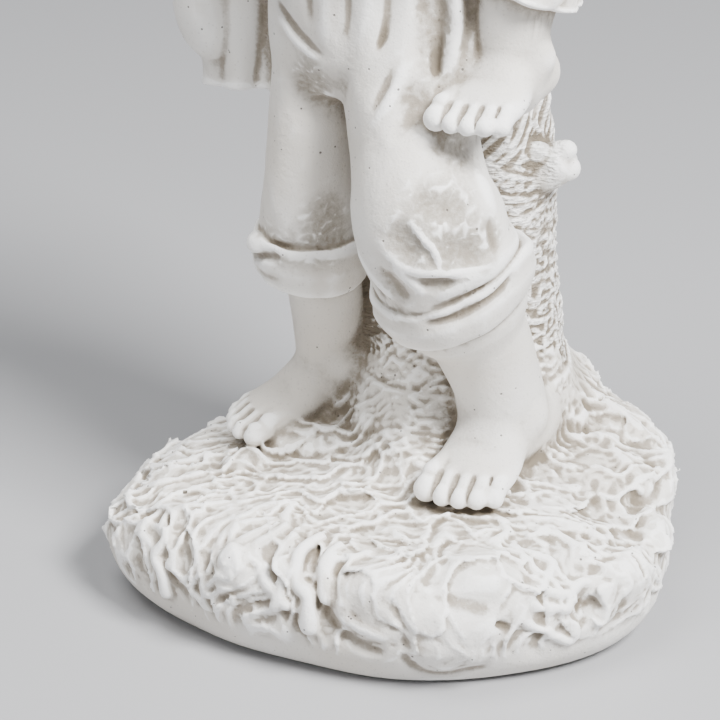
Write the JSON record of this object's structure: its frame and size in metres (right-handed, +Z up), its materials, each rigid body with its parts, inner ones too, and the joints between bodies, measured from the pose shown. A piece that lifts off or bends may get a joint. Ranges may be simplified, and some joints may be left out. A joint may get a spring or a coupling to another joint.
{
  "type": "garden statue",
  "caption": "Cast-stone garden statue: a barefoot child in rolled trousers gives a smaller child a piggyback ride in front of a tree stump, on a low grassy mound",
  "frame": {"origin": "On the flat underside of the mound, a few millimetres from the middle of its outline", "axes": "+Z up. The broad side of the mound faces -Y. Both children face -Y and about thirty degrees towards -X. The stump stands on the +X and +Y side behind them."},
  "size_m": [0.2074, 0.1855, 0.3863],
  "materials": {
    "cast_stone": "matte weathered off-white cast stone, with dirt in the recesses and fine pinholes"
  },
  "bodies": {
    "root": {"children_on_mound_casting": "cast_stone"}
  },
  "joints": []
}
